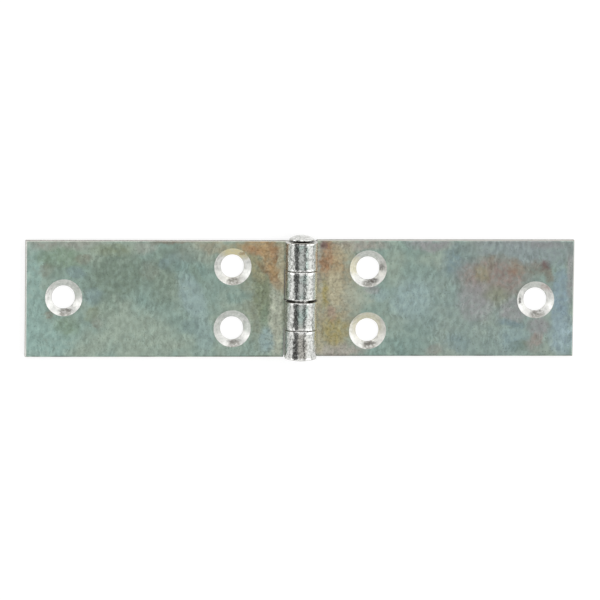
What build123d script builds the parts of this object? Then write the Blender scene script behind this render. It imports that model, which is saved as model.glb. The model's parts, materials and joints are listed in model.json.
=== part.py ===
from build123d import *
from math import asin, degrees, radians, sqrt, tan
import os

# A fixed pin hinge of rolled sheet steel, lying open on its back. X runs along the two leaves, Y along the
# pin towards its head, and Z up from the back face. The origin is on the back face, under the pin's middle.

# Leaves: the reach runs from the pin's axis to the leaf's far end, the width lies along the pin
leaf_reach = 70.4
leaf_width = 30.0
sheet_thickness = 2.0
front_edge_radius = 0.4

# Knuckles: each leaf's end is slit into tongues that are rolled forward round the pin
pin_diameter = 4.1
pin_clearance = 0.05
knuckles_per_leaf = 2
knuckle_gap = 0.35
closed_seam = 0.15
knuckle_swell = 0.25
knuckle_edge_radius = 0.3
roll_end_gap = 0.15
notch_clearance = 0.65

# Screw holes: a pair beside the knuckles and one at the far end, punched a little off the centre line
hole_diameter = 5.9
hole_land = 0.2
countersink_angle = 90
pair_reach = 17.4
pair_edge_inset = 7.0
end_hole_inset = 9.8
hole_row_offset = 0.35

# Pin: a domed head at one end and a low riveted end at the other
head_diameter = 6.4
head_height = 1.3
head_rim = 0.35
head_gap = 0.35
rivet_diameter = 5.4
rivet_height = 0.7
rivet_rim = 0.2

# Sizes that follow from those above
bore_radius = pin_diameter / 2 + pin_clearance
knuckle_radius = bore_radius + sheet_thickness
pin_height = knuckle_radius
knuckle_width_on_front = sqrt(knuckle_radius**2 - bore_radius**2)
notch_reach = knuckle_width_on_front + notch_clearance
roll_turn = 270 + degrees(asin(bore_radius / knuckle_radius) - roll_end_gap / knuckle_radius)
barrel_length = leaf_width + 2 * knuckle_swell
knuckle_pitch = barrel_length / (2 * knuckles_per_leaf)
leaf_slide = (knuckle_gap - closed_seam) / 2
countersink_depth = sheet_thickness - hole_land
countersink_radius = hole_diameter / 2 + countersink_depth * tan(radians(countersink_angle / 2))
pair_spacing = leaf_width - 2 * pair_edge_inset
barrel_end = barrel_length / 2 - leaf_slide
head_seat = barrel_end + head_gap

os.makedirs("parts", exist_ok=True)

# Leaf: a flat plate whose tongues run under the pin, up round its far side and back down to the front face
with BuildPart() as leaf:
    with BuildSketch():
        with Locations((-notch_reach, 0)):
            Rectangle(leaf_reach - notch_reach, leaf_width, align=(Align.MAX, Align.CENTER))
    extrude(amount=sheet_thickness)
    front_edges = leaf.faces().sort_by(Axis.Z)[-1].edges().sort_by(Axis.X)[:-1]
    fillet(front_edges, radius=front_edge_radius)

    for index in range(knuckles_per_leaf):
        slot_top = barrel_length / 2 - 2 * index * knuckle_pitch
        knuckle_top = slot_top - (knuckle_gap / 2 if index else 0)
        knuckle_bottom = slot_top - knuckle_pitch + knuckle_gap / 2
        with BuildSketch(Plane.YZ) as tongue:
            with Locations(((knuckle_top + knuckle_bottom) / 2, 0)):
                Rectangle(knuckle_top - knuckle_bottom, sheet_thickness, align=(Align.CENTER, Align.MIN))
            fillet(tongue.vertices().group_by(Axis.Y)[0], radius=knuckle_edge_radius)
        extrude(amount=-notch_reach)
        revolve(tongue.sketch, axis=Axis((0, 0, pin_height), (0, -1, 0)), revolution_arc=roll_turn)

    screw_places = [
        (-pair_reach, hole_row_offset + pair_spacing / 2, sheet_thickness),
        (-pair_reach, hole_row_offset - pair_spacing / 2, sheet_thickness),
        (-leaf_reach + end_hole_inset, hole_row_offset, sheet_thickness),
    ]
    with Locations(*screw_places):
        CounterSinkHole(hole_diameter / 2, countersink_radius, counter_sink_angle=countersink_angle)

# The two leaves are one stamping, turned end for end, and have slid a little way apart along the pin
with BuildPart() as left_leaf:
    with Locations((0, -leaf_slide, 0)):
        add(leaf.part)

with BuildPart() as right_leaf:
    with Locations(Location((0, leaf_slide, 0), (0, 0, 180))):
        add(leaf.part)

# Pin: headed at the top, passed through every knuckle and riveted over the last one
with BuildPart() as pin:
    with BuildSketch(Plane((0, 0, pin_height), x_dir=(0, 1, 0), z_dir=(1, 0, 0))):
        with BuildLine():
            rivet_dome = rivet_height - rivet_rim
            rivet_curve = (rivet_diameter**2 / 4 + rivet_dome**2) / (2 * rivet_dome)
            head_dome = head_height - head_rim
            head_curve = (head_diameter**2 / 4 + head_dome**2) / (2 * head_dome)
            RadiusArc(
                (-barrel_end - rivet_height, 0),
                (-barrel_end - rivet_rim, rivet_diameter / 2),
                rivet_curve,
            )
            Polyline(
                (-barrel_end - rivet_rim, rivet_diameter / 2),
                (-barrel_end, rivet_diameter / 2),
                (-barrel_end, pin_diameter / 2),
                (head_seat, pin_diameter / 2),
                (head_seat, head_diameter / 2),
                (head_seat + head_rim, head_diameter / 2),
            )
            RadiusArc(
                (head_seat + head_rim, head_diameter / 2),
                (head_seat + head_height, 0),
                head_curve,
            )
            Line((head_seat + head_height, 0), (-barrel_end - rivet_height, 0))
        make_face()
    revolve(axis=Axis((0, 0, pin_height), (0, 1, 0)))

left_leaf.part.label = "left_leaf"
right_leaf.part.label = "right_leaf"
pin.part.label = "pin"
export_step(left_leaf.part, "parts/left_leaf.step")
export_step(right_leaf.part, "parts/right_leaf.step")
export_step(pin.part, "parts/pin.step")
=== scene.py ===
# The looks of a fixed pin hinge that lies open on its back: two leaves stamped from one tool, rolled
# round a riveted pin. Lengths are in metres in the hinge's own frame: X along the leaves, Y along the pin.
import json
import math

import bmesh
import bpy
from mathutils import Matrix, Vector


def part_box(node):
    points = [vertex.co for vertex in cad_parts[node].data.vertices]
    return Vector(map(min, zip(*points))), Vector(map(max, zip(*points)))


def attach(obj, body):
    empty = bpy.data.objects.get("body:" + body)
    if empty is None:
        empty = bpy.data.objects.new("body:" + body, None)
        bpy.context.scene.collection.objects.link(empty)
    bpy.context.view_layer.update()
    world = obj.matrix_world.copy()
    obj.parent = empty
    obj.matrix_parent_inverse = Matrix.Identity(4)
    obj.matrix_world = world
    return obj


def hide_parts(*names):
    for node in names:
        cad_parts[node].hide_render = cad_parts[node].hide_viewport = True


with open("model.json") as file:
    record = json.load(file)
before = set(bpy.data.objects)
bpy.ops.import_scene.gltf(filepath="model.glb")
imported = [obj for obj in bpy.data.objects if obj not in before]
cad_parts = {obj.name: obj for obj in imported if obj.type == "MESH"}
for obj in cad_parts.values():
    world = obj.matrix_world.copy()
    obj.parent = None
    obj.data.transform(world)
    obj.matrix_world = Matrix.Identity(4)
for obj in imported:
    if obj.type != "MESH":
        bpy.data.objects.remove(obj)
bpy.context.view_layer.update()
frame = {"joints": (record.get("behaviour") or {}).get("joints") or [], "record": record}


# Left leaf: a blank of 2 mm sheet steel, punched and countersunk for three screws, with two tongues that
# are rolled forward round the pin as knuckles. It is zinc plated and passivated, and the film has dried in
# blotches of teal, blue, olive and brown, while the rolled knuckles and the countersinks stayed bright.
mm = 0.001
hair = 0.001 * mm
leaf_low, leaf_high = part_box("left_leaf")
mounts = {mount["name"]: mount for mount in frame["record"]["mounts"]}
pin_height = frame["joints"][0]["pos_m"][2]

# Sheet and knuckles
sheet_thickness = 2.0 * mm
leaf_width = 30.0 * mm
plate_top = leaf_low.y + leaf_width
knuckles_per_leaf = 2
knuckle_swell = leaf_high.y - plate_top
knuckle_pitch = (leaf_width + 2 * knuckle_swell) / (2 * knuckles_per_leaf)
knuckle_radius = leaf_high.z - pin_height
bore_radius = knuckle_radius - sheet_thickness
roll_end_gap = 0.15 * mm
roll_turn = 1.5 * math.pi + math.asin(bore_radius / knuckle_radius) - roll_end_gap / knuckle_radius
roll_steps = 72
notch_clearance = 0.65 * mm
notch_reach = math.sqrt(knuckle_radius**2 - bore_radius**2) + notch_clearance

# Tongues, each from its lower to its upper side: pressed close at the tight seam below each knuckle
knuckle_gap = 0.35 * mm
seam_closing = 0.06 * mm
tongues = []
for index in range(knuckles_per_leaf):
    slot_top = leaf_high.y - 2 * index * knuckle_pitch
    tongue_low = slot_top - knuckle_pitch + knuckle_gap / 2 - seam_closing
    tongue_high = slot_top - knuckle_gap / 2 if index else plate_top
    tongues.append((tongue_low, tongue_high))
tongue_score_lines = [0.5 * mm, 1.0 * mm, 1.7 * mm]

# Flare of the knuckles' ends, by how far round the pin they are rolled
knuckle_flare = 0.06 * mm
flare_rises = (math.radians(20), math.radians(80))
flare_falls = (math.radians(230), math.radians(280))
swell_rises = (0.0, math.radians(50))

# Edges
front_edge_radius = 0.4 * mm
knuckle_edge_radius = 0.3 * mm
rim_segments = 4
small_edge_radius = 0.06 * mm
small_edge_segments = 2
sharp_angle = math.radians(40)
shading_angle = math.radians(38)

# Screw holes
pair = mounts["left_screw_pair"]
pair_x, pair_y = pair["pos_m"][:2]
pair_half = pair["dims"]["spacing_y_mm"] * mm / 2
end_x, end_y = mounts["left_end_screw"]["pos_m"][:2]
hole_radius = pair["dims"]["hole_r_mm"] * mm
hole_places = [(pair_x, pair_y + pair_half), (pair_x, pair_y - pair_half), (end_x, end_y)]
hole_land = 0.2 * mm
countersink_radius = hole_radius + sheet_thickness - hole_land
hole_segments = 72
hole_margin = 0.6 * mm
margin_radius = countersink_radius + hole_margin
cell_margin = 1.45 * mm
cell_half = countersink_radius + cell_margin
wall_slack = 10 * hair

# Finishes of the leaf's faces, and how far a face is turned before it counts as sheared
FILM, COUNTERSINK, SHEARED = 0, 1, 2
upright_below = 0.5
endwise_above = 0.9


def score(sheet, faces, place, normal):
    """Cuts the given faces of the sheet along a straight line, and leaves the rest whole."""
    edges = {edge for face in faces for edge in face.edges}
    verts = {vert for face in faces for vert in face.verts}
    bmesh.ops.bisect_plane(
        sheet, geom=[*faces, *edges, *verts], dist=hair, plane_co=place, plane_no=normal
    )


def faces_between(sheet, low_x, high_x):
    """The faces whose middle lies between two places along the leaf."""
    return [face for face in sheet.faces if low_x < face.calc_center_median().x < high_x]


def smooth_step(value, low, high):
    """Rises from 0 to 1 between low and high, with a soft start and a soft end."""
    share = min(max((value - low) / (high - low), 0.0), 1.0)
    return share * share * (3 - 2 * share)


def roll_place(point):
    """How far round the pin a point of a tongue is rolled, and how far it is from the pin's axis."""
    if point.x < 0 and point.z < sheet_thickness + hair:
        return 0.0, pin_height - point.z
    turn = math.atan2(point.x, pin_height - point.z) % (2 * math.pi)
    return turn, math.hypot(point.x, pin_height - point.z)


def cut_blank():
    """The flat blank with its screw holes punched, one face thick."""
    sheet = bmesh.new()
    bmesh.ops.create_grid(sheet, x_segments=1, y_segments=1, size=0.5)
    blank_length = -notch_reach - leaf_low.x
    bmesh.ops.scale(sheet, vec=(blank_length, leaf_width, 1), verts=sheet.verts)
    middle = Vector((leaf_low.x + blank_length / 2, leaf_low.y + leaf_width / 2, 0))
    bmesh.ops.translate(sheet, vec=middle, verts=sheet.verts)

    for x in (pair_x, end_x):
        score(sheet, sheet.faces[:], (x - cell_half, 0, 0), (1, 0, 0))
        score(sheet, sheet.faces[:], (x + cell_half, 0, 0), (1, 0, 0))
    for x, y in hole_places:
        for line in (y - cell_half, y + cell_half):
            score(sheet, faces_between(sheet, x - cell_half, x + cell_half), (0, line, 0), (0, 1, 0))
    for low, high in tongues:
        lines = [low, high]
        lines += [low + inset for inset in tongue_score_lines]
        lines += [high - inset for inset in tongue_score_lines]
        for line in lines:
            score(sheet, faces_between(sheet, pair_x + cell_half, 0), (0, line, 0), (0, 1, 0))

    for x, y in hole_places:
        centre = Vector((x, y, 0))
        cell = min(sheet.faces, key=lambda face: (face.calc_center_median() - centre).length)
        cell_edges = list(cell.edges)
        bmesh.ops.delete(sheet, geom=[cell], context="FACES_ONLY")
        margin_verts = bmesh.ops.create_circle(
            sheet, segments=hole_segments, radius=margin_radius, matrix=Matrix.Translation(centre)
        )["verts"]
        margin = list({edge for vert in margin_verts for edge in vert.link_edges})
        bmesh.ops.triangle_fill(sheet, edges=[*cell_edges, *margin], use_beauty=True, normal=(0, 0, 1))
        grown = bmesh.ops.extrude_edge_only(sheet, edges=margin)["geom"]
        rim = [item for item in grown if isinstance(item, bmesh.types.BMVert)]
        shrink = hole_radius / margin_radius
        bmesh.ops.scale(sheet, vec=(shrink, shrink, 1), space=Matrix.Translation(-centre), verts=rim)
    bmesh.ops.recalc_face_normals(sheet, faces=sheet.faces)
    return sheet


def countersink(sheet):
    """Opens each hole of the thickened sheet to its cone, above the short straight land."""
    for x, y in hole_places:
        centre = Vector((x, y, 0))

        def on_wall(vert):
            return abs((vert.co.xy - centre.xy).length - hole_radius) < wall_slack

        walls = [face for face in sheet.faces if all(on_wall(vert) for vert in face.verts)]
        score(sheet, walls, (0, 0, hole_land), (0, 0, 1))
        front_ring = [vert for vert in sheet.verts if on_wall(vert) and vert.co.z > sheet_thickness / 2]
        growth = countersink_radius / hole_radius
        bmesh.ops.scale(
            sheet, vec=(growth, growth, 1), space=Matrix.Translation(-centre), verts=front_ring
        )
        for face in sheet.faces:
            rim = max((vert.co.xy - centre.xy).length for vert in face.verts)
            if rim < countersink_radius + hair:
                face.material_index = COUNTERSINK


def roll_tongues(sheet):
    """Runs each tongue on under the pin and rolls it up, over and down again to the front face."""
    for low, high in tongues:
        middle = (low + high) / 2
        reach = (high - low) / 2
        ends = [
            face
            for face in sheet.faces
            if abs(face.calc_center_median().x + notch_reach) < hair
            and abs(face.calc_center_median().y - middle) < reach
        ]
        end_edges = {edge for face in ends for edge in face.edges}
        grown = bmesh.ops.extrude_face_region(sheet, geom=[*ends, *end_edges])["geom"]
        moved = [item for item in grown if isinstance(item, bmesh.types.BMVert)]
        bmesh.ops.translate(sheet, vec=(notch_reach, 0, 0), verts=moved)
        bmesh.ops.spin(
            sheet,
            geom=[item for item in grown if not isinstance(item, bmesh.types.BMVert)],
            cent=(0, 0, pin_height),
            axis=(0, -1, 0),
            angle=roll_turn,
            steps=roll_steps,
        )


def flare_knuckles(sheet):
    """Rolling stretches a knuckle's ends a little: they stand wider, and the outer one grows longer."""
    flare_length = tongue_score_lines[-1]
    for vert in sheet.verts:
        if vert.co.x < -notch_reach + hair:
            continue
        low, high = min(tongues, key=lambda span: abs(vert.co.y - sum(span) / 2))
        turn, radius = roll_place(vert.co)
        to_end = min(vert.co.y - low, high - vert.co.y)
        share = 1 - smooth_step(to_end, 0, flare_length)
        flared = smooth_step(turn, *flare_rises) * (1 - smooth_step(turn, *flare_falls))
        growth = 1 + knuckle_flare * share * flared / radius
        if turn > 0:
            vert.co.x *= growth
            vert.co.z = pin_height + (vert.co.z - pin_height) * growth
        if high == plate_top:
            swelling = smooth_step(turn, *swell_rises)
            vert.co.y += knuckle_swell * swelling * smooth_step(vert.co.y, low, high)


def bevel_edges(sheet, edges, radius, segments):
    """Rounds the given edges."""
    bmesh.ops.bevel(
        sheet,
        geom=list(edges),
        offset=radius,
        offset_type="OFFSET",
        segments=segments,
        profile=0.5,
        affect="EDGES",
        clamp_overlap=True,
        material=-1,
    )


def is_sharp(edge):
    """Whether two faces meet in the edge at a sharp angle."""
    return len(edge.link_faces) == 2 and edge.calc_face_angle(0) > sharp_angle


def stamp_leaf(name, turn):
    """One leaf, stamped where the left one lies and then turned about the pin's middle."""
    sheet = cut_blank()
    grown = bmesh.ops.extrude_face_region(sheet, geom=sheet.faces[:])["geom"]
    moved = [item for item in grown if isinstance(item, bmesh.types.BMVert)]
    bmesh.ops.translate(sheet, vec=(0, 0, sheet_thickness), verts=moved)
    bmesh.ops.recalc_face_normals(sheet, faces=sheet.faces)
    for face in sheet.faces:
        if abs(face.normal.z) < upright_below:
            face.material_index = SHEARED
    countersink(sheet)
    roll_tongues(sheet)
    bmesh.ops.recalc_face_normals(sheet, faces=sheet.faces)
    for face in sheet.faces:
        if face.calc_center_median().x > -notch_reach + hair:
            face.material_index = SHEARED if abs(face.normal.y) > endwise_above else FILM
    flare_knuckles(sheet)

    def on_front_rim(vert):
        on_side = min(vert.co.y - leaf_low.y, plate_top - vert.co.y) < hair
        on_end = vert.co.x - leaf_low.x < hair
        on_front = vert.co.z > sheet_thickness - hair and vert.co.x < -notch_reach + hair
        return on_front and (on_side or on_end)

    def on_knuckle_rim(vert):
        return vert.co.x > -notch_reach - hair and roll_place(vert.co)[1] > knuckle_radius - hair

    front_rim = [edge for edge in sheet.edges if is_sharp(edge) and all(map(on_front_rim, edge.verts))]
    bevel_edges(sheet, front_rim, front_edge_radius, rim_segments)
    knuckle_rims = [
        edge
        for edge in sheet.edges
        if is_sharp(edge)
        and all(map(on_knuckle_rim, edge.verts))
        and abs(edge.verts[0].co.y - edge.verts[1].co.y) < knuckle_swell
    ]
    bevel_edges(sheet, knuckle_rims, knuckle_edge_radius, rim_segments)
    small_edges = [edge for edge in sheet.edges if is_sharp(edge)]
    bevel_edges(sheet, small_edges, small_edge_radius, small_edge_segments)

    bmesh.ops.rotate(
        sheet, cent=(0, 0, 0), matrix=Matrix.Rotation(turn, 3, "Z"), verts=sheet.verts
    )
    return finish_mesh(sheet, name)


def finish_mesh(sheet, name):
    """Turns the modelled shape into a smooth shaded piece at the hinge's origin."""
    mesh = bpy.data.meshes.new(name)
    sheet.to_mesh(mesh)
    sheet.free()
    mesh.shade_smooth()
    mesh.set_sharp_from_angle(angle=shading_angle)
    piece = bpy.data.objects.new(name, mesh)
    bpy.context.scene.collection.objects.link(piece)
    weighted = piece.modifiers.new("even shading", "WEIGHTED_NORMAL")
    weighted.keep_sharp = True
    return piece


def seen_colour(red, green, blue):
    """A colour as it is seen on a screen, 0 to 255, as the shader's linear values."""
    levels = [level / 255 for level in (red, green, blue)]
    linear = [v / 12.92 if v <= 0.04045 else ((v + 0.055) / 1.055) ** 2.4 for v in levels]
    return (*linear, 1.0)


def add_node(tree, kind, inputs=None, **settings):
    """One node with its settings, and its inputs as plain values or as the outputs that feed them."""
    node = tree.nodes.new(kind)
    for setting, value in settings.items():
        setattr(node, setting, value)
    for socket, value in (inputs or {}).items():
        if isinstance(value, bpy.types.NodeSocket):
            tree.links.new(value, node.inputs[socket])
        else:
            node.inputs[socket].default_value = value
    return node


def combine(tree, operation, first, second=0.0):
    """Two values joined by one step of arithmetic."""
    return add_node(tree, "ShaderNodeMath", {0: first, 1: second}, operation=operation).outputs[0]


def ramp(tree, value, low, high, to_low=0.0, to_high=1.0):
    """A value spread softly from one range to another."""
    inputs = {"Value": value, 1: low, 2: high, 3: to_low, 4: to_high}
    return add_node(tree, "ShaderNodeMapRange", inputs, interpolation_type="SMOOTHSTEP").outputs[0]


def tinted(tree, share, under, over):
    """One colour laid over another by a share."""
    return add_node(tree, "ShaderNodeMix", {0: share, 6: under, 7: over}, data_type="RGBA").outputs[2]


def stretched(tree, points, per_mm, turn=0.0):
    """Points scaled to a grain's spacing, along each axis, and turned about Z."""
    inputs = {"Vector": points, "Rotation": (0, 0, math.radians(turn)), "Scale": per_mm}
    return add_node(tree, "ShaderNodeMapping", inputs, vector_type="POINT").outputs[0]


def grain(tree, points, per_mm, detail=2.0):
    """Cloudy grain between 0 and 1."""
    inputs = {"Vector": points, "Scale": per_mm, "Detail": detail}
    return add_node(tree, "ShaderNodeTexNoise", inputs).outputs["Fac"]


def wandered(tree, points, per_mm, reach):
    """Points pushed about by a cloudy grain, so that what is drawn on them gets a ragged outline."""
    inputs = {"Vector": points, "Scale": per_mm, "Detail": 2.0}
    push = add_node(tree, "ShaderNodeTexNoise", inputs).outputs["Color"]
    inputs = {0: push, 1: (0.5, 0.5, 0.5)}
    push = add_node(tree, "ShaderNodeVectorMath", inputs, operation="SUBTRACT").outputs[0]
    inputs = {0: push, 1: (reach, reach, 0.0), 2: points}
    return add_node(tree, "ShaderNodeVectorMath", inputs, operation="MULTIPLY_ADD").outputs[0]


# Oval marks lay the film's stains, and the painted shade and highlights in the countersinks
def make_mark_group():
    """A soft oval mark of one tint, broken up by a grain, laid over the colour under it."""
    group = bpy.data.node_groups.new("oval_mark", "ShaderNodeTree")
    sockets = [
        ("Points", "NodeSocketVector"),
        ("Under", "NodeSocketColor"),
        ("Tint", "NodeSocketColor"),
        ("Place", "NodeSocketVector"),
        ("Reach", "NodeSocketVector"),
        ("Lean", "NodeSocketVector"),
        ("Strength", "NodeSocketFloat"),
        ("Grain", "NodeSocketFloat"),
    ]
    for name, kind in sockets:
        group.interface.new_socket(name, in_out="INPUT", socket_type=kind)
    group.interface.new_socket("Colour", in_out="OUTPUT", socket_type="NodeSocketColor")
    given = group.nodes.new("NodeGroupInput").outputs
    inputs = {
        "Vector": given["Points"],
        "Location": given["Place"],
        "Rotation": given["Lean"],
        "Scale": given["Reach"],
    }
    oval = add_node(group, "ShaderNodeMapping", inputs, vector_type="TEXTURE").outputs[0]
    inside = add_node(group, "ShaderNodeTexGradient", {0: oval}, gradient_type="SPHERICAL").outputs["Fac"]
    share = combine(group, "MULTIPLY", ramp(group, inside, 0.0, 0.6), given["Strength"])
    share = combine(group, "MULTIPLY", share, given["Grain"])
    colour = tinted(group, share, given["Under"], given["Tint"])
    taken = group.nodes.new("NodeGroupOutput").inputs
    group.links.new(colour, taken["Colour"])
    return group


mark_group = make_mark_group()
mark_depth = 6.0


def lay_mark(tree, points, under, grain_share, tint, place, reach, lean, strength):
    """Lays one oval mark, placed and sized in millimetres, over the colour under it."""
    inputs = {
        "Points": points,
        "Under": under,
        "Grain": grain_share,
        "Tint": tint,
        "Place": place,
        "Reach": (*reach, mark_depth),
        "Lean": (0, 0, math.radians(lean)),
        "Strength": strength,
    }
    return add_node(tree, "ShaderNodeGroup", inputs, node_tree=mark_group).outputs[0]


def new_finish(name, metallic):
    """An empty metal finish, with its node tree, its shader and its points in millimetres."""
    finish = bpy.data.materials.new(name)
    finish.use_nodes = True
    tree = finish.node_tree
    shader = tree.nodes["Principled BSDF"]
    shader.inputs["Metallic"].default_value = metallic
    place = tree.nodes.new("ShaderNodeTexCoord").outputs["Object"]
    inputs = {0: place, "Scale": 1 / mm}
    points = add_node(tree, "ShaderNodeVectorMath", inputs, operation="SCALE").outputs[0]
    return finish, tree, shader, points


def dress(tree, shader, colour, roughness, height, relief):
    """Joins a colour, a roughness and a relief of the given depth to the shader."""
    inputs = {"Height": height, "Strength": 1.0, "Distance": relief}
    normal = add_node(tree, "ShaderNodeBump", inputs).outputs[0]
    tree.links.new(colour, shader.inputs["Base Color"])
    tree.links.new(roughness, shader.inputs["Roughness"])
    tree.links.new(normal, shader.inputs["Normal"])


teal_film = seen_colour(135, 155, 146)
pale_green = seen_colour(150, 164, 151)
pale_sage = seen_colour(174, 179, 163)
pale_teal = seen_colour(142, 168, 161)
deep_teal = seen_colour(126, 150, 143)
green_grey = seen_colour(118, 134, 121)
moss_green = seen_colour(126, 146, 127)
olive_film = seen_colour(126, 135, 112)
olive_grey = seen_colour(138, 144, 126)
blue_film = seen_colour(146, 166, 164)
slate_blue = seen_colour(122, 142, 145)
warm_grey = seen_colour(161, 157, 148)
stone_grey = seen_colour(154, 157, 148)
olive_sand = seen_colour(148, 146, 118)
sand_grey = seen_colour(158, 152, 130)
brown_grey = seen_colour(132, 125, 113)
tan_film = seen_colour(170, 142, 104)
pale_tan = seen_colour(174, 168, 143)
rust_brown = seen_colour(152, 118, 90)
dark_brown = seen_colour(126, 92, 64)
bright_zinc = seen_colour(186, 187, 183)
rolled_zinc = seen_colour(172, 173, 170)
new_zinc = seen_colour(228, 228, 225)
zinc_speck = seen_colour(84, 84, 80)
# Painted highlight at the lower left and lower right of every countersink
cone_highlight_zinc = seen_colour(246, 246, 243)
# Grey-green zinc, also the painted shade at the top of every countersink
grey_green_zinc = seen_colour(174, 182, 174)
straw_film = seen_colour(208, 200, 162)
# Painted shade along the lower lip of the countersinks, grey and dark
lip_shade_grey = seen_colour(122, 120, 114)
lip_shade_dark = seen_colour(80, 78, 74)
torn_steel = seen_colour(112, 112, 104)
rough_steel = seen_colour(160, 158, 150)
burnished_steel = seen_colour(178, 176, 168)
# Painted shade in the seams between the knuckles and under the pin's head, lighter and darker
seam_shade_grey = seen_colour(112, 108, 100)
deep_shade_steel = seen_colour(58, 55, 50)


def toned(tree, colour, tone):
    """A colour made lighter or darker by a tone round 1."""
    inputs = {0: colour, "Scale": tone}
    return add_node(tree, "ShaderNodeVectorMath", inputs, operation="SCALE").outputs[0]


def from_pin_axis(tree, points):
    """The distance of each point from the pin's axis, in millimetres."""
    inputs = {0: points, 1: (1, 0, 1), 2: (0, 0, -pin_height / mm)}
    offset = add_node(tree, "ShaderNodeVectorMath", inputs, operation="MULTIPLY_ADD").outputs[0]
    return add_node(tree, "ShaderNodeVectorMath", {0: offset}, operation="LENGTH").outputs["Value"]


def axes(tree, points):
    """The coordinates of the points: along the leaves, along the pin and up."""
    return add_node(tree, "ShaderNodeSeparateXYZ", {0: points}).outputs


# Film on the flat sheet: shares and tones of its marks, and in millimetres where they start and end
film_metal = 0.85
film_roughness = (0.3, 0.42)
film_pits = 0.3
stain_wander = [(0.13, 2.6), (0.5, 1.9), (1.7, 0.9)]
stain_shares = (0.65, 1.1)
blot_tones = (0.86, 1.12)
streak_tones = (0.74, 1.26)
speck_tones = (1.0, 0.66)
speckle_tones = (1.08, 0.8)
speckled_reach = (16.0, 9.0)
# Painted shade along the lower edge: its tones, where it is whole beside the pin, and its reach from the
# edge
edge_shade_tones = (1.0, 0.55)
edge_shade_near_pin = (36.0, 12.0)
edge_shade_lip = (0.55, 0.25)
worn_rim = (0.45, 0.2)
worn_share = 0.8


def stained_film(tree, points, ragged, clouds, broken, stains):
    """The film's colour: soft patches of teal and green, and over them the stains that it dried in."""
    patches = grain(tree, stretched(tree, points, (0.09, 0.12, 2.0)), 1.0, 3.0)
    colour = tinted(tree, ramp(tree, patches, 0.4, 0.66), teal_film, pale_green)
    colour = tinted(tree, ramp(tree, clouds, 0.5, 0.72, 0.0, 0.5), colour, deep_teal)
    for tint, (x, y), reach, lean, strength in stains:
        place = (x, y, sheet_thickness / mm)
        colour = lay_mark(tree, ragged, colour, broken, tint, place, reach, lean, strength)
    return colour


def weathered(tree, points, ragged, specks, lower_edge, colour):
    """The film with its blots, streaks and specks, painted shade along its lower edge and a worn left rim.
    """
    along, across, _ = axes(tree, points)
    beside_pin = combine(tree, "ABSOLUTE", along)
    blots = grain(tree, stretched(tree, points, (0.8, 0.5, 1.0), -12), 1.0, 4.0)
    colour = toned(tree, colour, ramp(tree, blots, 0.3, 0.7, *blot_tones))
    streaks = grain(tree, stretched(tree, ragged, (1.7, 0.55, 1.7), 5), 1.0, 4.0)
    streaked = toned(tree, colour, ramp(tree, streaks, 0.25, 0.75, *streak_tones))
    patches = grain(tree, stretched(tree, points, (0.16, 0.2, 1.0), 40), 1.0, 2.0)
    colour = tinted(tree, ramp(tree, patches, 0.36, 0.64, 0.0, 0.8), colour, streaked)
    colour = toned(tree, colour, ramp(tree, specks, 0.58, 0.76, *speck_tones))
    speckles = grain(tree, points, 1.5, 3.0)
    speckled = toned(tree, colour, ramp(tree, speckles, 0.42, 0.66, *speckle_tones))
    colour = tinted(tree, ramp(tree, beside_pin, *speckled_reach), colour, speckled)

    # Painted shade: a patchy dark line along the lower edge, unbroken near the pin
    from_edge = combine(tree, "SUBTRACT", across, lower_edge / mm)
    edge_shade_patches = ramp(tree, grain(tree, stretched(tree, points, (0.12, 0.0, 0.0)), 1.0, 3.0), 0.4, 0.62)
    edge_shade_patches = combine(tree, "MAXIMUM", edge_shade_patches, ramp(tree, beside_pin, *edge_shade_near_pin))
    edge_shade = combine(tree, "MULTIPLY", ramp(tree, from_edge, *edge_shade_lip), edge_shade_patches)
    colour = toned(tree, colour, ramp(tree, edge_shade, 0.0, 1.0, *edge_shade_tones))
    from_rim = combine(tree, "SUBTRACT", along, leaf_low.x / mm)
    return tinted(tree, ramp(tree, from_rim, *worn_rim, 0.0, worn_share), colour, new_zinc)


# Zinc on the rolled knuckles: the same again, with the waves that rolling leaves in the sheet
roll_edge = (0.24, 0.07)
roll_roughness = (0.19, 0.32)
roll_waves = 3.8
roll_relief = 0.045 * mm
crown_reach = (2.0, 0.8)
crown_shares = (0.1, 0.6)
warm_below = (-8.0, -4.0)
# Painted highlights on the knuckles' flanks and rims: where they start and end in millimetres, and their
# share
flank_reach = (2.5, 3.6)
rim_highlight_reach = (0.9, 0.45)
rim_highlight_share = 0.85
scuff_shares = (0.5, 0.3)
# Painted shadow of the pin's head on the top knuckle: its width and its reach across the pin
head_shadow_width = (0.3, 0.15)
head_shadow_reach = (3.3, 2.7)


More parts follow.
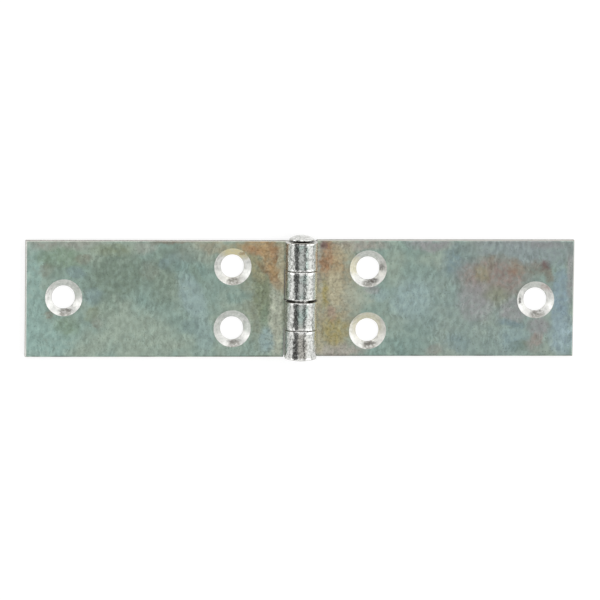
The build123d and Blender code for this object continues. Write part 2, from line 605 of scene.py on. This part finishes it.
def rolled_metal(tree, points, clouds, scuffs):
    """Bright zinc, a film hint on its crown, painted highlights on flanks and rims, scuffs, painted head
    shadow.
    """
    along, across, _ = axes(tree, points)
    beside_pin = combine(tree, "ABSOLUTE", along)
    tint = tinted(tree, ramp(tree, across, *warm_below), warm_grey, pale_teal)
    crown = ramp(tree, beside_pin, *crown_reach)
    hint = combine(tree, "MULTIPLY", crown, ramp(tree, clouds, 0.4, 0.6, *crown_shares))
    zinc = tinted(tree, hint, rolled_zinc, tint)
    # Painted highlight: new zinc laid over the flanks and the rims of every knuckle
    flank = ramp(tree, beside_pin, *flank_reach)
    to_rim = combine(tree, "PINGPONG", combine(tree, "ABSOLUTE", across), knuckle_pitch / mm / 2)
    flank_and_rim_highlight = combine(tree, "MAXIMUM", flank, ramp(tree, to_rim, *rim_highlight_reach, 0.0, rim_highlight_share))
    zinc = tinted(tree, flank_and_rim_highlight, zinc, new_zinc)
    scuff_share = ramp(tree, flank, 0.0, 1.0, *scuff_shares)
    scuffed = combine(tree, "MULTIPLY", ramp(tree, scuffs, 0.46, 0.62), scuff_share)
    zinc = tinted(tree, scuffed, zinc, zinc_speck)
    # Painted shadow of the pin's head along the top rim of the top knuckle
    to_head = combine(tree, "SUBTRACT", leaf_high.y / mm, across)
    over_pin = ramp(tree, beside_pin, *head_shadow_reach)
    painted_shade = combine(tree, "MULTIPLY", ramp(tree, to_head, *head_shadow_width), over_pin)
    return tinted(tree, painted_shade, zinc, deep_shade_steel)


def film_finish(name, stains, lower_edge):
    """The passivated sheet: a mottled film with its stains, bright again where the sheet is rolled."""
    finish, tree, shader, points = new_finish(name, film_metal)
    ragged = points
    for per_mm, reach in stain_wander:
        ragged = wandered(tree, ragged, per_mm, reach)
    clouds = grain(tree, stretched(tree, points, (0.2, 0.17, 3.0), 20), 1.0, 3.0)
    broken = ramp(tree, grain(tree, points, 0.9, 4.0), 0.32, 0.66, *stain_shares)
    specks = grain(tree, points, 2.6, 2.0)
    scuffs = grain(tree, points, 1.7, 3.0)
    film = stained_film(tree, points, ragged, clouds, broken, stains)
    film = weathered(tree, points, ragged, specks, lower_edge, film)
    past_roll = combine(tree, "SUBTRACT", from_pin_axis(tree, points), knuckle_radius / mm)
    rolled = ramp(tree, past_roll, *roll_edge)
    flat = combine(tree, "SUBTRACT", 1.0, rolled)
    colour = tinted(tree, rolled, film, rolled_metal(tree, points, clouds, scuffs))
    tree.links.new(ramp(tree, rolled, 0.0, 1.0, film_metal, 1.0), shader.inputs["Metallic"])

    haze = combine(tree, "MULTIPLY", ramp(tree, broken, *stain_shares, *film_roughness), flat)
    polish = combine(tree, "MULTIPLY", ramp(tree, specks, 0.3, 0.7, *roll_roughness), rolled)
    roughness = combine(tree, "ADD", haze, polish)
    pits = combine(tree, "MULTIPLY", grain(tree, points, 3.0, 3.0), film_pits)
    pits = combine(tree, "MULTIPLY", pits, flat)
    waves = combine(tree, "MULTIPLY", grain(tree, points, 0.7, 1.5), roll_waves)
    dents = combine(tree, "MULTIPLY", combine(tree, "ADD", scuffs, waves), rolled)
    dress(tree, shader, colour, roughness, combine(tree, "ADD", pits, dents), roll_relief)
    return finish


# Painted light, the same in every countersink: painted shade at the top and on the right, painted
# highlights at the lower left and lower right, and painted shade along the lower lip. Tint, place from its
# middle and reach in millimetres, lean and strength
painted_cone_light = [
    (grey_green_zinc, (0.0, 4.2), (6.0, 3.0), 0, 0.45),
    (bright_zinc, (3.9, 0.3), (1.8, 2.4), 0, 0.6),
    (cone_highlight_zinc, (-2.9, -2.6), (2.8, 1.9), -50, 0.7),
    (cone_highlight_zinc, (3.5, -2.0), (1.5, 2.2), -25, 0.5),
    (lip_shade_grey, (0.4, -4.0), (2.6, 1.5), 3, 0.7),
    (lip_shade_dark, (0.7, -3.35), (2.3, 0.6), 6, 0.35),
]
mark_shares = (0.6, 1.2)
cone_roughness = (0.34, 0.5)
rings_per_mm = 5.0
ring_share = 0.2
ring_relief = 0.02 * mm


def countersink_finish(name, places, own_marks):
    """Bright plated cones with fine turned rings, painted shade and highlights, and each hole's own marks.
    """
    finish, tree, shader, points = new_finish(name, 1.0)
    nearest = None
    for x, y in places:
        inputs = {0: points, 1: (1, 1, 0), 2: (-x / mm, -y / mm, 0)}
        offset = add_node(tree, "ShaderNodeVectorMath", inputs, operation="MULTIPLY_ADD").outputs[0]
        distance = add_node(tree, "ShaderNodeVectorMath", {0: offset}, operation="LENGTH").outputs["Value"]
        nearest = distance if nearest is None else combine(tree, "MINIMUM", nearest, distance)
    inputs = {"W": nearest, "Scale": rings_per_mm, "Detail": 3.0}
    rings = add_node(tree, "ShaderNodeTexNoise", inputs, noise_dimensions="1D").outputs["Fac"]
    ragged = wandered(tree, points, 0.9, 1.0)
    mottle = grain(tree, points, 1.0, 3.0)
    colour = tinted(tree, ramp(tree, mottle, 0.42, 0.68, 0.0, 0.7), new_zinc, bright_zinc)
    colour = tinted(tree, ramp(tree, rings, 0.5, 0.7, 0.0, ring_share), colour, zinc_speck)
    broken = ramp(tree, grain(tree, points, 1.6, 2.0), 0.3, 0.6, *mark_shares)
    for (x, y), marks in zip(places, own_marks):
        for tint, (right, up), reach, lean, strength in [*painted_cone_light, *marks]:
            place = (x / mm + right, y / mm + up, sheet_thickness / mm / 2)
            colour = lay_mark(tree, ragged, colour, broken, tint, place, reach, lean, strength)
    roughness = ramp(tree, mottle, 0.3, 0.7, *cone_roughness)
    dress(tree, shader, colour, roughness, rings, ring_relief)
    return finish


# Sheared edges, and in millimetres where the painted shade on them starts and ends
sheared_metal = 0.9
sheared_roughness = (0.55, 0.32)
sheared_relief = 0.05 * mm
tear_depth = 0.8
burnished_from = (1.2, 1.7)
shade_past_roll = (0.3, 0.0)
shade_past_foot = (0.1, 0.5)
shade_short_of_head = (0.5, 0.9)
shade_over_pin = (2.8, 1.8)
shade_round_shank = (3.5, 3.2)
dark_near_head = (1.5, 0.5)


def sheared_finish(name):
    """The sheet's sheared edge: burnished near the front, torn towards the back, painted shade round the
    pin.
    """
    finish, tree, shader, points = new_finish(name, sheared_metal)
    tears = grain(tree, stretched(tree, points, (2.5, 2.5, 0.6)), 1.0, 3.0)
    along, along_pin, depth = axes(tree, points)
    ragged_depth = combine(tree, "ADD", depth, combine(tree, "MULTIPLY", tears, tear_depth))
    burnished = ramp(tree, ragged_depth, *burnished_from)
    torn = tinted(tree, ramp(tree, tears, 0.35, 0.7), torn_steel, rough_steel)
    colour = tinted(tree, burnished, torn, burnished_steel)

    # Painted shade on the end faces in the seams and round the shank, darkest under the head
    from_axis = from_pin_axis(tree, points)
    past_roll = combine(tree, "SUBTRACT", from_axis, knuckle_radius / mm)
    past_foot = combine(tree, "SUBTRACT", along_pin, leaf_low.y / mm)
    to_head = combine(tree, "SUBTRACT", leaf_high.y / mm, along_pin)
    over_pin = ramp(tree, combine(tree, "ABSOLUTE", along), *shade_over_pin)
    in_seam = combine(tree, "MULTIPLY", ramp(tree, to_head, *shade_short_of_head), over_pin)
    painted_shade = combine(tree, "MAXIMUM", in_seam, ramp(tree, from_axis, *shade_round_shank))
    painted_shade = combine(tree, "MULTIPLY", painted_shade, ramp(tree, past_roll, *shade_past_roll))
    painted_shade = combine(tree, "MULTIPLY", painted_shade, ramp(tree, past_foot, *shade_past_foot))
    shade_tone = tinted(tree, ramp(tree, to_head, *dark_near_head), seam_shade_grey, deep_shade_steel)
    colour = tinted(tree, painted_shade, colour, shade_tone)
    roughness = ramp(tree, burnished, 0.0, 1.0, *sheared_roughness)
    dress(tree, shader, colour, roughness, tears, sheared_relief)
    return finish


# Stains of the film: their tint, place and reach in millimetres, lean in degrees and strength
left_stains = [
    (olive_grey, (-8.6, 2.0), (9.0, 22.0), 0, 0.9),
    (pale_teal, (-68.5, 0.0), (4.0, 20.0), 0, 0.9),
    (pale_teal, (-64.0, -10.5), (10.0, 6.5), 8, 0.9),
    (stone_grey, (-61.0, 14.2), (14.0, 2.6), 0, 0.9),
    (moss_green, (-61.5, 10.3), (9.0, 4.2), -4, 0.9),
    (brown_grey, (-65.0, 7.4), (2.6, 2.4), 30, 0.4),
    (green_grey, (-47.0, 6.0), (11.0, 8.5), 12, 1.0),
    (olive_film, (-48.5, 12.4), (6.5, 2.2), 4, 0.7),
    (green_grey, (-32.5, 9.5), (8.0, 6.5), -35, 0.6),
    (green_grey, (-35.2, 2.0), (5.4, 5.0), 0, 0.6),
    (brown_grey, (-55.6, 10.0), (3.2, 1.7), 0, 0.5),
    (slate_blue, (-57.8, 6.6), (3.6, 1.9), -6, 0.6),
    (slate_blue, (-53.0, 0.2), (3.6, 3.4), -20, 0.6),
    (moss_green, (-60.0, -7.0), (4.2, 3.2), 0, 0.8),
    (green_grey, (-49.5, -2.0), (4.5, 3.5), 20, 0.5),
    (pale_green, (-41.5, -9.0), (12.0, 7.5), 5, 1.0),
    (olive_film, (-53.4, -4.2), (2.8, 2.0), 40, 0.6),
    (brown_grey, (-51.8, -6.4), (2.2, 2.2), 0, 0.4),
    (brown_grey, (-64.6, -4.2), (1.6, 1.3), 0, 0.6),
    (stone_grey, (-40.0, 13.6), (4.2, 2.2), 0, 0.7),
    (brown_grey, (-32.0, 14.9), (9.0, 1.2), 0, 0.9),
    (sand_grey, (-22.0, 13.4), (7.0, 2.4), -3, 0.7),
    (slate_blue, (-35.0, 9.0), (2.2, 1.7), 0, 1.0),
    (slate_blue, (-31.6, 9.0), (5.0, 3.8), -15, 0.55),
    (green_grey, (-35.4, 6.2), (6.0, 5.2), 0, 0.6),
    (deep_teal, (-28.0, 7.6), (6.0, 6.5), 20, 0.8),
    (blue_film, (-27.6, 0.4), (4.2, 9.0), 22, 1.0),
    (green_grey, (-26.8, 6.8), (1.4, 4.4), 35, 0.6),
    (slate_blue, (-28.0, -7.0), (3.4, 2.6), 0, 0.4),
    (deep_teal, (-16.0, 0.4), (4.6, 3.0), 0, 0.7),
    (olive_sand, (-14.5, 11.6), (6.5, 4.0), -8, 0.7),
    (olive_film, (-9.6, 0.4), (3.6, 8.0), 3, 1.0),
    (moss_green, (-9.2, -5.5), (2.4, 5.0), 0, 0.6),
    (tan_film, (-10.2, 13.4), (7.5, 3.2), -4, 0.8),
    (olive_sand, (-11.2, 7.8), (2.6, 5.5), 30, 0.9),
    (tan_film, (-7.4, 8.6), (2.6, 7.4), 28, 0.85),
    (tan_film, (-6.2, 4.8), (2.2, 4.6), 24, 0.8),
    (rust_brown, (-7.0, 12.2), (1.8, 3.4), 12, 0.5),
    (rust_brown, (-12.2, 12.4), (2.8, 1.8), -25, 0.6),
    (dark_brown, (-5.6, 4.4), (1.3, 2.4), 10, 0.35),
    (dark_brown, (-8.9, 6.9), (0.9, 5.0), 39, 0.5),
    (pale_tan, (-4.8, 8.0), (1.5, 9.0), 4, 1.0),
    (pale_sage, (-6.4, -6.0), (2.8, 13.0), 0, 1.0),
    (olive_grey, (-4.7, -3.6), (0.9, 3.4), 0, 0.6),
    (blue_film, (-8.8, -10.6), (2.8, 4.8), 0, 0.9),
    (green_grey, (-62.6, 7.2), (3.0, 2.6), 0, 0.45),
    (brown_grey, (-38.8, 7.6), (3.6, 3.4), 0, 0.25),
    (brown_grey, (-27.0, 12.0), (8.0, 3.4), 0, 0.3),
    (blue_film, (-24.6, -9.4), (3.2, 6.0), 0, 0.6),
    (green_grey, (-46.0, 0.0), (44.0, 34.0), 0, 0.13),
]

# Marks that only one countersink has, in the order of the holes; the dark ones at the lower lip are
# painted shade
left_cone_marks = [
    [
        (straw_film, (0.6, 3.8), (5.6, 2.6), -6, 0.9),
        (dark_brown, (2.4, 3.4), (1.0, 0.7), 0, 0.5),
    ],
    [(grey_green_zinc, (-3.6, 1.4), (2.2, 2.8), 0, 0.3), (grey_green_zinc, (3.9, 0.6), (1.6, 2.4), 0, 0.5)],
    [(grey_green_zinc, (3.7, 1.6), (1.8, 2.2), 0, 0.5), (lip_shade_dark, (1.6, -3.3), (1.3, 0.5), 0, 0.4)],
]

left_leaf = stamp_leaf("left_leaf_stamping", 0.0)
left_leaf.data.materials.append(film_finish("left_leaf_film", left_stains, leaf_low.y))
left_leaf.data.materials.append(countersink_finish("left_countersinks", hole_places, left_cone_marks))
sheared_edge = sheared_finish("sheared_edge")
left_leaf.data.materials.append(sheared_edge)
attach(left_leaf, "swing_leaf")
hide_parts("left_leaf")


# Right leaf: the same stamping turned end for end, so that its knuckles fill the left leaf's notches. The
# same film dried on it in other places: rust brown and mustard by the knuckles, rose and plum further out.
mustard = seen_colour(156, 146, 96)
rose_grey = seen_colour(144, 133, 126)
rose_mark = seen_colour(164, 130, 124)
plum_mark = seen_colour(108, 82, 84)
lilac_grey = seen_colour(148, 149, 149)
storm_grey = seen_colour(143, 154, 154)
clear_blue = seen_colour(138, 158, 168)
ice_blue = seen_colour(150, 170, 175)

right_stains = [
    (sand_grey, (8.0, 0.0), (9.0, 24.0), 0, 1.0),
    (deep_teal, (33.0, -4.0), (16.0, 16.0), 0, 0.3),
    (storm_grey, (48.0, -4.0), (30.0, 22.0), 0, 0.35),
    (storm_grey, (61.0, 12.4), (13.0, 5.5), 0, 0.9),
    (lilac_grey, (56.0, 14.6), (18.0, 2.2), 0, 0.7),
    (slate_blue, (40.5, 9.6), (6.4, 6.6), 0, 0.8),
    (pale_sage, (14.5, 0.6), (6.0, 5.0), 0, 0.5),
    (warm_grey, (15.0, 13.8), (10.0, 2.4), 0, 0.8),
    (pale_green, (24.0, 9.6), (4.0, 5.0), 0, 0.7),
    (lilac_grey, (33.0, 14.4), (8.0, 2.4), 0, 0.9),
    (blue_film, (28.6, 0.0), (7.0, 7.0), 0, 1.0),
    (deep_teal, (29.0, -11.0), (9.0, 5.0), 0, 0.4),
    (rose_mark, (34.4, -13.4), (3.0, 2.0), 0, 0.2),
    (blue_film, (20.6, 1.0), (3.2, 2.4), 0, 0.7),
    (lilac_grey, (18.4, 2.6), (2.6, 1.6), 0, 0.7),
    (rose_grey, (49.5, 5.2), (12.0, 7.4), -6, 1.0),
    (lilac_grey, (45.0, -0.8), (6.6, 7.0), 0, 0.8),
    (lilac_grey, (54.5, -3.2), (5.0, 4.6), 0, 0.8),
    (olive_sand, (46.6, 6.4), (2.6, 3.6), 24, 0.6),
    (olive_grey, (50.2, 0.8), (4.4, 3.2), -20, 0.8),
    (brown_grey, (49.0, 9.0), (1.2, 3.4), 0, 0.8),
    (rust_brown, (55.2, 8.0), (2.8, 3.4), 0, 0.4),
    (brown_grey, (60.0, 8.0), (4.6, 3.4), 0, 0.6),
    (brown_grey, (63.6, 6.2), (1.6, 3.8), 20, 0.7),
    (plum_mark, (63.0, 8.8), (2.2, 2.0), -30, 0.6),
    (storm_grey, (50.0, 12.7), (14.0, 2.6), 0, 0.8),
    (clear_blue, (67.2, 0.0), (3.2, 12.0), 0, 0.8),
    (ice_blue, (67.6, -9.6), (4.4, 7.0), 0, 0.9),
    (lilac_grey, (69.9, 7.0), (1.8, 10.0), 0, 0.8),
    (lilac_grey, (61.4, -7.4), (4.2, 3.0), 0, 0.9),
    (rose_mark, (60.6, -10.6), (3.2, 2.2), 30, 0.35),
    (blue_film, (55.0, -10.4), (5.0, 3.8), 0, 0.9),
    (slate_blue, (54.4, -6.6), (4.0, 1.4), -12, 0.8),
    (green_grey, (56.2, -12.3), (3.4, 2.0), 14, 0.8),
    (warm_grey, (10.0, -13.4), (9.0, 2.4), 0, 0.9),
    (tan_film, (8.6, 9.0), (3.2, 6.4), 0, 0.5),
    (pale_tan, (8.8, 2.4), (3.2, 6.4), 0, 1.0),
    (mustard, (9.2, -8.2), (4.8, 5.2), 0, 0.7),
    (mustard, (6.3, 1.2), (1.5, 5.4), 0, 0.8),
    (rose_mark, (8.6, -4.0), (1.8, 2.8), 0, 0.35),
    (rust_brown, (6.7, 10.8), (2.1, 6.4), -4, 0.8),
    (plum_mark, (5.7, 13.8), (1.5, 1.4), 0, 0.7),
    (warm_grey, (4.7, 9.0), (1.0, 7.5), 0, 0.7),
    (pale_tan, (4.8, 0.0), (1.1, 2.6), 0, 0.7),
    (pale_tan, (5.0, -11.4), (1.4, 3.6), 0, 0.7),
    (pale_tan, (10.8, 12.2), (4.4, 3.2), 0, 0.45),
    (green_grey, (42.6, 12.2), (5.0, 2.8), 0, 0.35),
    (slate_blue, (40.5, -11.8), (4.2, 3.2), 0, 0.45),
    (slate_blue, (54.4, -12.0), (3.6, 3.2), 0, 0.5),
    (rose_grey, (60.0, -12.0), (3.4, 3.0), 0, 0.35),
]

# Marks that only one countersink of the right leaf has; the dark ones at the lower lip are painted shade
right_cone_marks = [
    [(straw_film, (-0.4, 1.5), (5.6, 5.0), 0, 0.5), (lip_shade_dark, (0.9, -3.4), (2.2, 0.8), 8, 0.4)],
    [
        (straw_film, (-3.4, 0.8), (2.4, 3.6), 0, 0.5),
        (zinc_speck, (3.5, 0.3), (0.9, 1.3), 0, 0.55),
        (lip_shade_dark, (1.4, -3.3), (1.9, 0.8), 20, 0.6),
    ],
    [(zinc_speck, (-4.0, -0.2), (0.6, 1.2), 0, 0.7), (rose_mark, (2.6, 3.4), (2.0, 1.5), -40, 0.35)],
]

right_leaf = stamp_leaf("right_leaf_stamping", math.pi)
right_leaf.data.materials.append(film_finish("right_leaf_film", right_stains, -plate_top))
turned_places = [(-x, -y) for x, y in hole_places]
right_leaf.data.materials.append(
    countersink_finish("right_countersinks", turned_places, right_cone_marks)
)
right_leaf.data.materials.append(sheared_edge)
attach(right_leaf, "fixed_leaf")
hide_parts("right_leaf")


# Pin: one length of round steel with a low domed head, passed through all four knuckles and then
# hammered over at its far end, so that it can't be drawn out. It is zinc plated, with painted shadow
# under its head.
pin_low, pin_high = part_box("pin")
pin_clearance = 0.05 * mm
shank_radius = bore_radius - pin_clearance
head_radius = (pin_high.z - pin_low.z) / 2
head_height = 1.3 * mm
head_rim = 0.35 * mm
rivet_radius = 2.7 * mm
rivet_height = 0.7 * mm
rivet_rim = 0.2 * mm
dome_points = 7
pin_segments = 64
pin_edge_radius = 0.09 * mm
pin_edge_segments = 3


def dome(radius, height):
    """Points of a low dome from its rim to near its middle, as distances from the axis and rises."""
    curve = (radius**2 + height**2) / (2 * height)
    for step in range(dome_points):
        reach = radius * (1 - step / dome_points)
        yield reach, math.sqrt(curve**2 - reach**2) - (curve - height)


def turn_pin(name):
    """The pin's outline, spun once round its axis."""
    seat = pin_high.y - head_height
    collar = pin_low.y + rivet_height
    outline = [(0.0, pin_low.y)]
    rivet_dome = list(dome(rivet_radius, rivet_height - rivet_rim))
    outline += [(reach, collar - rivet_rim - rise) for reach, rise in reversed(rivet_dome)]
    outline += [(rivet_radius, collar), (shank_radius, collar), (shank_radius, seat), (head_radius, seat)]
    head_dome = dome(head_radius, head_height - head_rim)
    outline += [(reach, seat + head_rim + rise) for reach, rise in head_dome]
    outline += [(0.0, pin_high.y)]

    pin = bmesh.new()
    points = [pin.verts.new((0, along, pin_height + reach)) for reach, along in outline]
    edges = [pin.edges.new(ends) for ends in zip(points, points[1:])]
    bmesh.ops.spin(
        pin,
        geom=[*points, *edges],
        cent=(0, 0, pin_height),
        axis=(0, 1, 0),
        angle=2 * math.pi,
        steps=pin_segments,
        use_merge=True,
    )
    bmesh.ops.remove_doubles(pin, verts=pin.verts, dist=hair)
    bmesh.ops.recalc_face_normals(pin, faces=pin.faces)
    sharp_edges = [edge for edge in pin.edges if is_sharp(edge)]
    bevel_edges(pin, sharp_edges, pin_edge_radius, pin_edge_segments)
    return finish_mesh(pin, name)


# Zinc on the pin, and in millimetres where the painted shadow on its shank starts and ends
pin_roughness = (0.22, 0.36)
pin_relief = 0.04 * mm
dulled_share = 0.9
speck_share = 0.6
shade_below_head = (-0.08, -0.02)
shade_up_shank = (12.0, 14.0)


def pin_finish(name):
    """Bright zinc, dulled and pitted by the hammer and by handling, with painted shadow under the head."""
    finish, tree, shader, points = new_finish(name, 1.0)
    mottle = grain(tree, points, 1.1, 3.0)
    colour = tinted(tree, ramp(tree, mottle, 0.36, 0.64, 0.0, dulled_share), new_zinc, bright_zinc)
    specks = grain(tree, points, 2.6, 2.0)
    colour = tinted(tree, ramp(tree, specks, 0.6, 0.75, 0.0, speck_share), colour, zinc_speck)
    _, along_pin, _ = axes(tree, points)
    # Painted shadow of the head on the shank below it
    to_seat = combine(tree, "SUBTRACT", (pin_high.y - head_height) / mm, along_pin)
    painted_shade = ramp(tree, along_pin, *shade_up_shank)
    painted_shade = combine(tree, "MULTIPLY", painted_shade, ramp(tree, to_seat, *shade_below_head))
    colour = tinted(tree, painted_shade, colour, deep_shade_steel)
    roughness = ramp(tree, mottle, 0.3, 0.7, *pin_roughness)
    dress(tree, shader, colour, roughness, specks, pin_relief)
    return finish


pin = turn_pin("riveted_pin")
pin.data.materials.append(pin_finish("pin_zinc"))
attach(pin, "fixed_leaf")
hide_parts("pin")


# Floor: a plain sheet of white paper that the hinge lies on. It shows as white, keeps a faint shadow and
# lies in deep shade under the barrel, which is a little lighter towards the riveted end.
floor_half = 6.0
floor_drop = 0.05 * mm
floor_white = (0.9, 0.9, 0.9, 1)
floor_shade = (0.3, 0.3, 0.3, 1)
floor_glow = 0.75
shade_edge = 0.3 * mm
shade_beside_pin = 4.8 * mm
shade_along_pin = 15.0 * mm
shade_lifts = (-6.0 * mm, -9.0 * mm)
shade_levels = (0.09, 0.22)
floor_mesh = bpy.data.meshes.new("floor")
floor_shape = bmesh.new()
bmesh.ops.create_grid(floor_shape, x_segments=1, y_segments=1, size=floor_half)
bmesh.ops.translate(floor_shape, vec=(0, 0, -floor_drop), verts=floor_shape.verts)
floor_shape.to_mesh(floor_mesh)
floor_shape.free()
floor = bpy.data.objects.new("floor", floor_mesh)
bpy.context.scene.collection.objects.link(floor)

floor_paper = bpy.data.materials.new("floor_paper")
floor_paper.use_nodes = True
paper = floor_paper.node_tree
paper.nodes.remove(paper.nodes["Principled BSDF"])
ray = paper.nodes.new("ShaderNodeLightPath").outputs
shown = combine(paper, "MAXIMUM", ray["Is Camera Ray"], ray["Is Glossy Ray"])
shown = combine(paper, "MAXIMUM", shown, ray["Is Transmission Ray"])
place = paper.nodes.new("ShaderNodeTexCoord").outputs["Object"]
along, along_pin, _ = axes(paper, place)
beside_pin = combine(paper, "ABSOLUTE", along)
from_middle = combine(paper, "ABSOLUTE", along_pin)
lit = ramp(paper, along_pin, *shade_lifts, *shade_levels)
beyond_sides = ramp(paper, beside_pin, shade_beside_pin - shade_edge, shade_beside_pin)
beyond_ends = ramp(paper, from_middle, shade_along_pin - shade_edge, shade_along_pin)
lit = combine(paper, "MAXIMUM", lit, beyond_sides)
lit = combine(paper, "MAXIMUM", lit, beyond_ends)
glow = combine(paper, "MULTIPLY", lit, floor_glow)
paper_matt = add_node(paper, "ShaderNodeBsdfDiffuse", {"Color": floor_white}).outputs[0]
paper_shade = add_node(paper, "ShaderNodeBsdfDiffuse", {"Color": floor_shade}).outputs[0]
paper_glow = add_node(paper, "ShaderNodeEmission", {"Strength": glow}).outputs[0]
paper_seen = add_node(paper, "ShaderNodeAddShader", {0: paper_shade, 1: paper_glow}).outputs[0]
paper_mix = add_node(paper, "ShaderNodeMixShader", {0: shown, 1: paper_matt, 2: paper_seen})
paper.links.new(paper_mix.outputs[0], paper.nodes["Material Output"].inputs["Surface"])
floor_mesh.materials.append(floor_paper)


# Light: a softbox overhead that reaches further to the left, and one low on each side and at each end of
# the pin, in a dim room. Between them it is dark, and the rolled knuckles show that as stripes.
room_light = 0.1
world = bpy.data.worlds.new("room")
world.use_nodes = True
world.node_tree.nodes["Background"].inputs["Color"].default_value = (1, 1, 1, 1)
world.node_tree.nodes["Background"].inputs["Strength"].default_value = room_light
bpy.context.scene.world = world
softbox_distance = 1.8
softbox_length = 2.6


def softbox(name, direction, low, high, brightness):
    """A flat soft light that faces the hinge, and spans two angles from overhead in one direction."""
    middle = math.radians((low + high) / 2)
    width = 2 * softbox_distance * math.tan(math.radians(high - low) / 2)
    light = bpy.data.lights.new(name, "AREA")
    light.shape = "RECTANGLE"
    light.size = width
    light.size_y = softbox_length
    light.energy = brightness * math.pi * width * softbox_length
    lamp = bpy.data.objects.new(name, light)
    bpy.context.scene.collection.objects.link(lamp)
    out = Vector((math.cos(math.radians(direction)), math.sin(math.radians(direction)), 0))
    up = Vector((0, 0, 1))
    facing = math.sin(middle) * out + math.cos(middle) * up
    rising = math.sin(middle) * up - math.cos(middle) * out
    along = facing.cross(rising)
    lamp.matrix_world = Matrix.Translation(softbox_distance * facing) @ Matrix(
        (rising, -along, facing)
    ).transposed().to_4x4()
    lamp.visible_camera = False


softboxes = [
    ("overhead_softbox", 0, -23, 13, 1.17),
    ("right_softbox", 0, 32, 87, 2.0),
    ("left_softbox", 180, 58, 85, 1.9),
    ("head_end_softbox", 90, 44, 87, 2.0),
    ("rivet_end_softbox", 270, 44, 87, 1.4),
]
for name, direction, low, high, brightness in softboxes:
    softbox(name, direction, low, high, brightness)


# Camera: looks down on the hinge from two metres, through a long lens. It leans a little towards the pin's
# head and the left leaf, and is turned by less than a degree.
view_distance = 2.0
lens_length = 468.6
sensor_width = 36.0
lean_to_head = math.radians(8.45)
lean_to_left = math.radians(5.0)
view_roll = math.radians(0.745)
aim = Vector((0.10 * mm, -0.61 * mm, 0))
back = Vector((-math.sin(lean_to_left), math.sin(lean_to_head), 0))
back.z = math.sqrt(1 - back.length_squared)
across = Vector((0, 1, 0)).cross(back).normalized()
upward = back.cross(across)
turned_across = math.cos(view_roll) * across + math.sin(view_roll) * upward
turned_upward = -math.sin(view_roll) * across + math.cos(view_roll) * upward
camera_data = bpy.data.cameras.new("camera")
camera_data.sensor_width = sensor_width
camera_data.lens = lens_length
camera = bpy.data.objects.new("camera", camera_data)
bpy.context.scene.collection.objects.link(camera)
camera.matrix_world = Matrix.Translation(aim + view_distance * back) @ Matrix(
    (turned_across, turned_upward, back)
).transposed().to_4x4()
bpy.context.scene.camera = camera

bpy.context.scene.view_settings.view_transform = "Standard"
